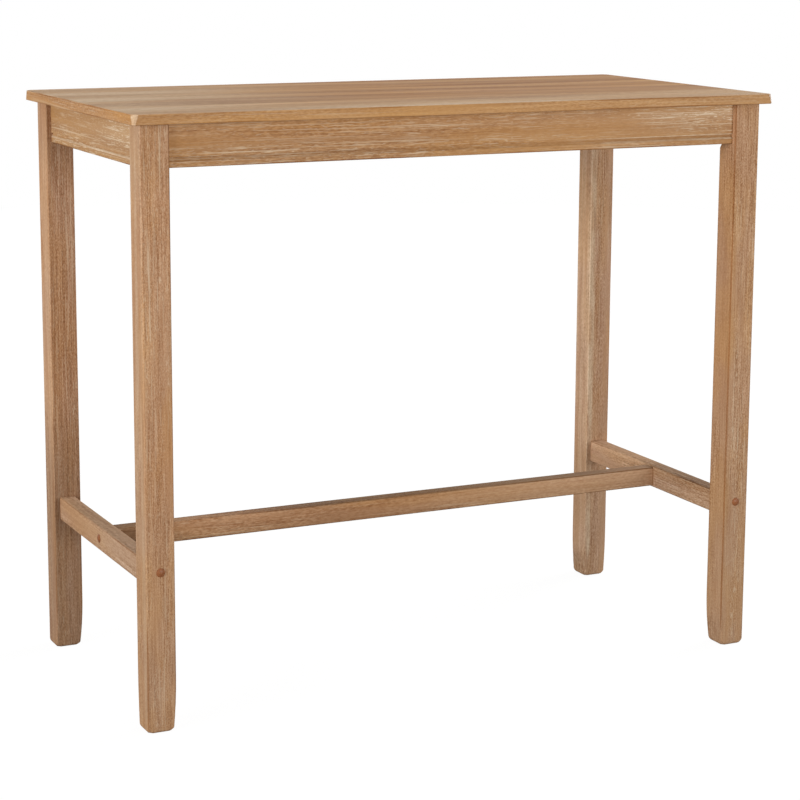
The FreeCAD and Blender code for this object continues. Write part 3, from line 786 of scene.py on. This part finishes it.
# Each leg's shade mask paints light and shade: darker towards the foot, lighter sides, shadow low and at
# the head
dress_wood({
    "front_left_leg": dict(leg, tint=(0.405, 0.21, 0.099), fibres=0.75, streak=2.4,
                           opening=leg_opening(slope=-1.5, side=-0.10, front=0.12),
                           wear=leg_wear(left=0.0, right=1.8, foot=2.0),
                           painted_shading=leg_painted_shading(painted_falloff=0.16, side=0.0, low=-0.05, head=-0.11),
                           glaze=leg_glaze(strip=0.004, washed=0.1, shift=3.0, side=0.20, side_head=0.14)),
    "front_right_leg": dict(leg, tint=(0.388, 0.21, 0.103), streak=2.2,
                            opening=leg_opening(slope=2.0, side=-0.08),
                            limed=leg_limed(usual=0.6, bare=0.012, head=0.3),
                            wear=leg_wear(left=2.2, right=1.0, foot=1.0),
                            painted_shading=leg_painted_shading(painted_falloff=0.12, side=0.08, low=-0.07),
                            glaze=leg_glaze(strip=0.009, washed=0.0, shift=5.0)),
    "back_right_leg": dict(leg, tint=(0.408, 0.231, 0.128), lime=0.4, opening=leg_opening(side=-0.2),
                           wear=leg_wear(left=0.0, right=1.5),
                           painted_shading=leg_painted_shading(painted_falloff=0.16, side=0.22, low=-0.04),
                           glaze=leg_glaze(strip=0.016, washed=0.62, shift=7.0, side=0.2)),
    # The back left leg's darker tint paints in the shade that falls on its front
    "back_left_leg": dict(leg, tint=(0.337, 0.169, 0.083), lime=0.4,
                          opening=leg_opening(slope=-3.0, side=-0.15, front=0.10),
                          wear=leg_wear(left=0.5, right=1.0, foot=0.6),
                          painted_shading=leg_painted_shading(painted_falloff=0.10, side=0.19, low=-0.31, head=-0.12),
                          glaze=leg_glaze(strip=0.004, washed=0.1, shift=9.0, side=0.16, head=0.04)),
})

# %% [markdown]
# ## The stretchers
# Three stretchers make an H between the legs. A pale film of glaze colour on their upper faces is
# painted light, and a film of glaze stays towards some ends. Painted light and shade change their tone
# along their length: on the upper faces under the top, lighter or darker ends where legs and stretchers
# throw shadows, and darker towards the lower edge. The same smooth steps serve again: each span below is
# where a step starts and ends along the stretcher, and its two values.

# %% Glaze, painted light and painted shade of the stretchers
upper_skin = 0.004
upper_edge = 0.001
front_film_span = (-0.10, 0.20)
right_film_span = (-0.2, 0.4)


def stretcher_glaze_and_painted_light(upper, front=0.0, right=0.0):
    """A pale film on the upper face, which is painted light, and a film of glaze towards a front end or a
    right end.
    """
    def glaze(piece):
        tree = piece.tree
        along, across, height = split(tree, piece.from_middle)
        face = piece.high.z - piece.middle.z
        # Painted light: a pale film that lifts the upper face
        film = step_between(tree, height, face - upper_skin, face, 0.0, upper)
        film = sum_up(tree, "MAXIMUM", film, step_between(tree, across, *front_film_span, front, 0.0))
        return sum_up(tree, "MAXIMUM", film, step_between(tree, along, *right_film_span, 0.0, right))
    return glaze


def stretcher_painted_shading(axis, upper, painted_spans=(), lower=0.0):
    """Painted light and shade on a stretcher along an axis: one span on its upper face alone, under the
    top, more spans on all its faces against the shadows of legs and stretchers, and darker towards its
    lower edge."""
    def painted_shading(piece):
        tree = piece.tree
        place = split(tree, piece.from_middle)
        face = piece.high.z - piece.middle.z
        on_top = step_between(tree, place[2], face - upper_skin, face - upper_edge)
        tone = sum_up(tree, "MULTIPLY", on_top, step_between(tree, place[axis], *upper))
        tone = sum_up(tree, "ADD", tone, step_between(tree, place[2], -face, face, lower, 0.0))
        for span in painted_spans:
            tone = sum_up(tree, "ADD", tone, step_between(tree, place[axis], *span))
        return tone
    return painted_shading


# %% Dress the stretchers
stretcher = dict(bands=0.4, fibres=0.9, lime=0.35)
# Painted light and shade towards the long stretcher's ends: darker at the left, lighter at the right
long_painted_spans = [(-0.54, -0.42, -0.45, 0.0), (0.40, 0.52, 0.0, 0.22)]
dress_wood({
    # The upper amount of each stretcher's glaze paints light on its upper face
    "left_end_stretcher": dict(stretcher, grain="y", tint=(0.38, 0.212, 0.114),
                               glaze=stretcher_glaze_and_painted_light(upper=0.22, front=0.20),
                               painted_shading=stretcher_painted_shading(axis=1, upper=(0.10, 0.22, 0.0, 0.20))),
    "right_end_stretcher": dict(stretcher, grain="y", tint=(0.365, 0.215, 0.127),
                                glaze=stretcher_glaze_and_painted_light(upper=0.08),
                                # Painted light on the back half of the right end stretcher, and painted
                                # shade on its upper face
                                painted_shading=stretcher_painted_shading(axis=1, upper=(-0.15, 0.10, -0.30, -0.10),
                                                      painted_spans=[(-0.04, 0.06, 0.04, 0.42)])),
    "long_stretcher": dict(stretcher, grain="x", tint=(0.405, 0.208, 0.094),
                           glaze=stretcher_glaze_and_painted_light(upper=0.05, right=0.23),
                           painted_shading=stretcher_painted_shading(axis=0, upper=(-0.42, -0.15, 0.05, -0.42), lower=-0.14,
                                                 painted_spans=long_painted_spans)),
})

# %% [markdown]
# ## Bare wood inside the frame
# The corner blocks, cleats and dowels are out of sight, so a maker leaves them without any finish. They
# are a paler wood, planed but not brushed. The same group serves again with hardly any lime and a light
# tint.

# %% Dress the bare wood
bare = dict(tint=(0.50, 0.33, 0.175), bands=0.5, fibres=0.6, lime=0.05)
bare_grain = {"leg_joint_dowels": "y", "long_joint_dowels": "x"}
for corner in ("front_left", "front_right", "back_right", "back_left"):
    bare_grain[corner + "_corner_block"] = "x"
for side, grain in (("front", "x"), ("back", "x"), ("left", "y"), ("right", "y")):
    bare_grain[side + "_cleat"] = grain
dress_wood({node: dict(bare, grain=grain) for node, grain in bare_grain.items()})

# %% [markdown]
# ## The core board
# Between the veneers lies a pressed board of wood chips. Nobody sees it in a finished table, but the
# solid is there, so it gets the speckle of its chips: two browns, parted by a coarse and a fine noise.

# %% Dress the core
chip_size = 260.0
dust_size = 1500.0
dust_detail = 3
dust_share = 0.5
chip_share = 0.6
dark_chip = (0.30, 0.19, 0.10, 1)
pale_chip = (0.58, 0.44, 0.27, 1)
chip_roughness = (0.75, 0.95)
chip_relief = 0.0003
chip_relief_strength = 0.7


def chip_board():
    material, tree, shader = new_material("chip_board")
    place = put(tree, "ShaderNodeTexCoord", {}).outputs["Object"]
    cells = put(tree, "ShaderNodeTexVoronoi", {"Vector": place, "Scale": chip_size})
    chips = split(tree, cells.outputs["Color"])[0]
    dust = noise(tree, place, dust_size, dust_detail)
    speckle = sum_up(tree, "MULTIPLY_ADD", dust, dust_share, sum_up(tree, "MULTIPLY", chips, chip_share))
    colour = mix_colour(tree, speckle, dark_chip, pale_chip)
    rough = step_between(tree, chips, 0.0, 1.0, *chip_roughness)
    show(tree, shader, colour, rough, dust, chip_relief, chip_relief_strength)
    return material


dress("top_core", chip_board())
print("core: top_core")

# %% [markdown]
# ## Zinc-plated steel
# Bolts, nuts and screws are bright zinc. Plating is not a plain grey: it clouds into lighter and darker
# patches a few millimetres across and takes fine scratches, so both the colour and the roughness follow a
# noise.

# %% Dress the fasteners
steel_endings = ("_bolts", "_washers", "_nuts", "_screws")
cloud_size = 380.0
cloud_detail = 3
cloud_edges = (0.35, 0.65)
scratch_stretch = (300, 5200, 5200)
scratch_detail = 2
dull_zinc = (0.46, 0.48, 0.50, 1)
bright_zinc = (0.66, 0.67, 0.66, 1)
zinc_roughness = (0.24, 0.36)
scratch_roughness = 0.18
scratch_relief = 0.00004
smooth_edges = (0.3, 0.7)
smooth_relief_strength = 0.5


def zinc_plate():
    material, tree, shader = new_material("zinc_plate")
    shader["Metallic"].default_value = 1.0
    place = put(tree, "ShaderNodeTexCoord", {}).outputs["Object"]
    cloud = noise(tree, place, cloud_size, cloud_detail)
    scratch = noise(tree, move(tree, "MULTIPLY", place, scratch_stretch), 1.0, scratch_detail)
    colour = mix_colour(tree, step_between(tree, cloud, *cloud_edges), dull_zinc, bright_zinc)
    rough = step_between(tree, cloud, *smooth_edges, *zinc_roughness)
    rough = sum_up(tree, "MULTIPLY_ADD", scratch, scratch_roughness, rough)
    show(tree, shader, colour, rough, scratch, scratch_relief, smooth_relief_strength)
    return material


zinc = zinc_plate()
steel_nodes = [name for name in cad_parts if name.endswith(steel_endings)]
for node in steel_nodes:
    dress(node, zinc)
print("steel pieces:", len(steel_nodes))

# %% [markdown]
# ## The caps over the bolts
# Each stretcher bolt is hidden by a pressed-in cap of brown plastic: a shallow dome with a rounded rim,
# and a hollow spigot that grips the counterbore. Such a cap is a turned shape, so one half of its section
# is drawn as a chain of points and spun once round. The section is drawn upright, and each copy is then
# turned to face out of its hole.

# %% The section of a cap
cap_radius = 0.0079
cap_rim = 0.0007
cap_height = 0.0030
rim_round = 0.0003
rim_ease = 0.3
spigot_radius = 0.0064
spigot_bore = 0.0049
spigot_length = 0.0050
spigot_bevel = 0.0004
dome_steps = 10


def cap_section():
    """Half the section of a cap, from its crown out to the rim and down its spigot: radius and height."""
    rise = cap_height - cap_rim
    inner = cap_radius - rim_round
    sphere = (inner ** 2 + rise ** 2) / (2 * rise)
    section = []
    for step in range(dome_steps + 1):
        radius = inner * step / dome_steps
        section.append((radius, cap_height - sphere + math.sqrt(sphere ** 2 - radius ** 2)))
    section += [(cap_radius - rim_ease * rim_round, cap_rim - rim_ease * rim_round),
                (cap_radius, cap_rim - rim_round),
                (cap_radius, 0.0),
                (spigot_radius, 0.0),
                (spigot_radius, spigot_bevel - spigot_length),
                (spigot_radius - spigot_bevel, -spigot_length),
                (spigot_bore, -spigot_length),
                (spigot_bore, 0.0),
                (0.0, 0.0)]
    return section


print("points in a cap's section:", len(cap_section()))

# %% Spin the caps
cap_turns = 48
merge_reach = 1e-6


def spin_caps(name, node, mouths):
    """One object with a cap at each mouth. A mouth is the middle of a hole and the way it faces."""
    caps = bmesh.new()
    for middle, outwards in mouths:
        older = set(caps.verts)
        chain = [caps.verts.new((radius, 0, height)) for radius, height in cap_section()]
        edges = [caps.edges.new(pair) for pair in zip(chain, chain[1:])]
        bmesh.ops.spin(caps, geom=chain + edges, cent=(0, 0, 0), axis=(0, 0, 1), angle=math.tau,
                       steps=cap_turns, use_merge=True)
        fresh = [vert for vert in caps.verts if vert not in older]
        turn = Vector(outwards).to_track_quat("Z", "Y").to_matrix().to_4x4()
        bmesh.ops.transform(caps, matrix=Matrix.Translation(middle) @ turn, verts=fresh)
    bmesh.ops.remove_doubles(caps, verts=caps.verts, dist=merge_reach)
    bmesh.ops.recalc_face_normals(caps, faces=caps.faces)
    for face in caps.faces:
        face.smooth = True
    mesh = bpy.data.meshes.new(name)
    caps.to_mesh(mesh)
    caps.free()
    piece = bpy.data.objects.new(name, mesh)
    bpy.context.scene.collection.objects.link(piece)
    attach(piece, "root")
    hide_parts(node)
    print(name, len(mesh.polygons), "faces")
    return piece


# %% [markdown]
# ## The caps' places and plastic
# The caps sit in the outer faces of the legs and of the end stretchers. Their places come from the boxes
# of the solids that they stand for, so nothing has to be measured twice. Moulded plastic is slightly
# mottled, with a fine grit that breaks up its gloss.

# %% The caps' plastic
plastic_gloss = 0.25
plastic_roughness = (0.30, 0.46)
dark_plastic = (0.21, 0.072, 0.024, 1)
pale_plastic = (0.29, 0.105, 0.038, 1)
mottle_size = 700.0
mottle_detail = 3
mottle_edges = (0.35, 0.65)
grit_size = 5200.0
grit_detail = 2
grit_relief = 0.00005


def cap_plastic():
    material, tree, shader = new_material("cap_plastic")
    shader["Specular IOR Level"].default_value = plastic_gloss
    place = put(tree, "ShaderNodeTexCoord", {}).outputs["Object"]
    mottle = noise(tree, place, mottle_size, mottle_detail)
    grit = noise(tree, place, grit_size, grit_detail)
    colour = mix_colour(tree, step_between(tree, mottle, *mottle_edges), dark_plastic, pale_plastic)
    rough = step_between(tree, grit, *smooth_edges, *plastic_roughness)
    show(tree, shader, colour, rough, grit, grit_relief, smooth_relief_strength)
    return material


# %% Place and dress the caps
cap_low, cap_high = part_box("leg_bolt_caps")
cap_level = (cap_low.z + cap_high.z) / 2
leg_mouths = []
for x in (cap_low.x + cap_radius, cap_high.x - cap_radius):
    leg_mouths.append(((x, cap_low.y + cap_height, cap_level), (0, -1, 0)))
    leg_mouths.append(((x, cap_high.y - cap_height, cap_level), (0, 1, 0)))
end_low, end_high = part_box("stretcher_bolt_caps")
end_middle = (end_low + end_high) / 2
end_mouths = [((end_low.x + cap_height, end_middle.y, end_middle.z), (-1, 0, 0)),
              ((end_high.x - cap_height, end_middle.y, end_middle.z), (1, 0, 0))]

brown_plastic = cap_plastic()
for name, node, mouths in (("leg_cap_buttons", "leg_bolt_caps", leg_mouths),
                           ("stretcher_cap_buttons", "stretcher_bolt_caps", end_mouths)):
    spin_caps(name, node, mouths).data.materials.append(brown_plastic)

# %% [markdown]
# ## The white ground
# The picture has a white ground with hardly any shadow. The camera sees the world as pure white and the
# floor as nearly white paper that still takes a faint shadow, while the light that both throw on the
# table stays that of a dim studio and a pale floor. More light would also make the ground white, but it
# would bleach the wood. From below the floor is clear, so the underside of the table can be looked at
# too.

# %% The world
ambient = 0.42
paper_white = (1, 1, 1, 1)


def white_world():
    world = bpy.data.worlds.new("white_studio")
    world.use_nodes = True
    tree = world.node_tree
    rays = put(tree, "ShaderNodeLightPath", {}).outputs
    seen = sum_up(tree, "MAXIMUM", rays["Is Camera Ray"], rays["Is Glossy Ray"])
    seen = sum_up(tree, "MAXIMUM", seen, rays["Is Transmission Ray"])
    background = tree.nodes["Background"].inputs
    background["Color"].default_value = paper_white
    tree.links.new(step_between(tree, seen, 0.0, 1.0, ambient, 1.0), background["Strength"])
    return world


bpy.context.scene.world = white_world()
print("world:", bpy.context.scene.world.name)

# %% The floor's paper
floor_colour = (0.38, 0.38, 0.38, 1)
floor_glow = 0.955
floor_share = 0.2


def floor_paper():
    paper = bpy.data.materials.new("floor_paper")
    paper.use_nodes = True
    tree = paper.node_tree
    tree.nodes.clear()
    rays = put(tree, "ShaderNodeLightPath", {}).outputs
    matt = put(tree, "ShaderNodeBsdfDiffuse", {"Color": floor_colour}).outputs[0]
    strength = floor_glow / (1 - floor_share)
    glow = put(tree, "ShaderNodeEmission", {"Color": paper_white, "Strength": strength}).outputs[0]
    lit = put(tree, "ShaderNodeMixShader", {0: floor_share, 1: glow, 2: matt}).outputs[0]
    ground = put(tree, "ShaderNodeMixShader", {0: rays["Is Camera Ray"], 1: matt, 2: lit}).outputs[0]
    from_below = put(tree, "ShaderNodeNewGeometry", {}).outputs["Backfacing"]
    clear = put(tree, "ShaderNodeBsdfTransparent", {}).outputs[0]
    ground = put(tree, "ShaderNodeMixShader", {0: from_below, 1: ground, 2: clear}).outputs[0]
    put(tree, "ShaderNodeOutputMaterial", {"Surface": ground})
    return paper


# %% Lay the floor
floor_radius = 7.0
floor_sides = 96

sheet = bmesh.new()
bmesh.ops.create_circle(sheet, cap_ends=True, segments=floor_sides, radius=floor_radius)
floor_mesh = bpy.data.meshes.new("studio_floor")
sheet.to_mesh(floor_mesh)
sheet.free()
floor_mesh.materials.append(floor_paper())
floor = bpy.data.objects.new("studio_floor", floor_mesh)
bpy.context.scene.collection.objects.link(floor)
print("floor:", floor_radius, "m in radius")

# %% [markdown]
# ## The lamps
# In the picture the edge of the top throws almost no shadow on the apron below it, so the main light
# comes in low, from the front and a little more from the left. The face of the top has a light of its own
# above, and the lamp on the right fills the far side. Four softboxes give that: a lamp larger than the
# table throws soft shadows, where a small one would draw hard lines. Each has a place, a width and a
# height, and a power.

# %% Hang the lamps
lamp_plan = {
    "left_softbox": ((-12.0, -4.3, 2.0), (6.0, 3.6), 1170.0),
    "front_softbox": ((3.2, -10.0, 1.4), (6.0, 2.8), 445.0),
    "right_softbox": ((11.0, 2.5, 2.6), (6.0, 2.8), 1300.0),
    "top_softbox": ((0.0, -0.3, 4.2), (2.4, 2.4), 19.0),
}
table_middle = (cad_low + cad_high) / 2
for name, (place, size, power) in lamp_plan.items():
    softbox = bpy.data.lights.new(name, "AREA")
    softbox.shape = "RECTANGLE"
    softbox.size, softbox.size_y = size
    softbox.energy = power
    lamp = bpy.data.objects.new(name, softbox)
    lamp.location = place
    lamp.rotation_euler = (table_middle - lamp.location).to_track_quat("-Z", "Y").to_euler()
    bpy.context.scene.collection.objects.link(lamp)
bpy.context.scene.view_settings.view_transform = "Standard"
print("lamps:", ", ".join(lamp_plan))
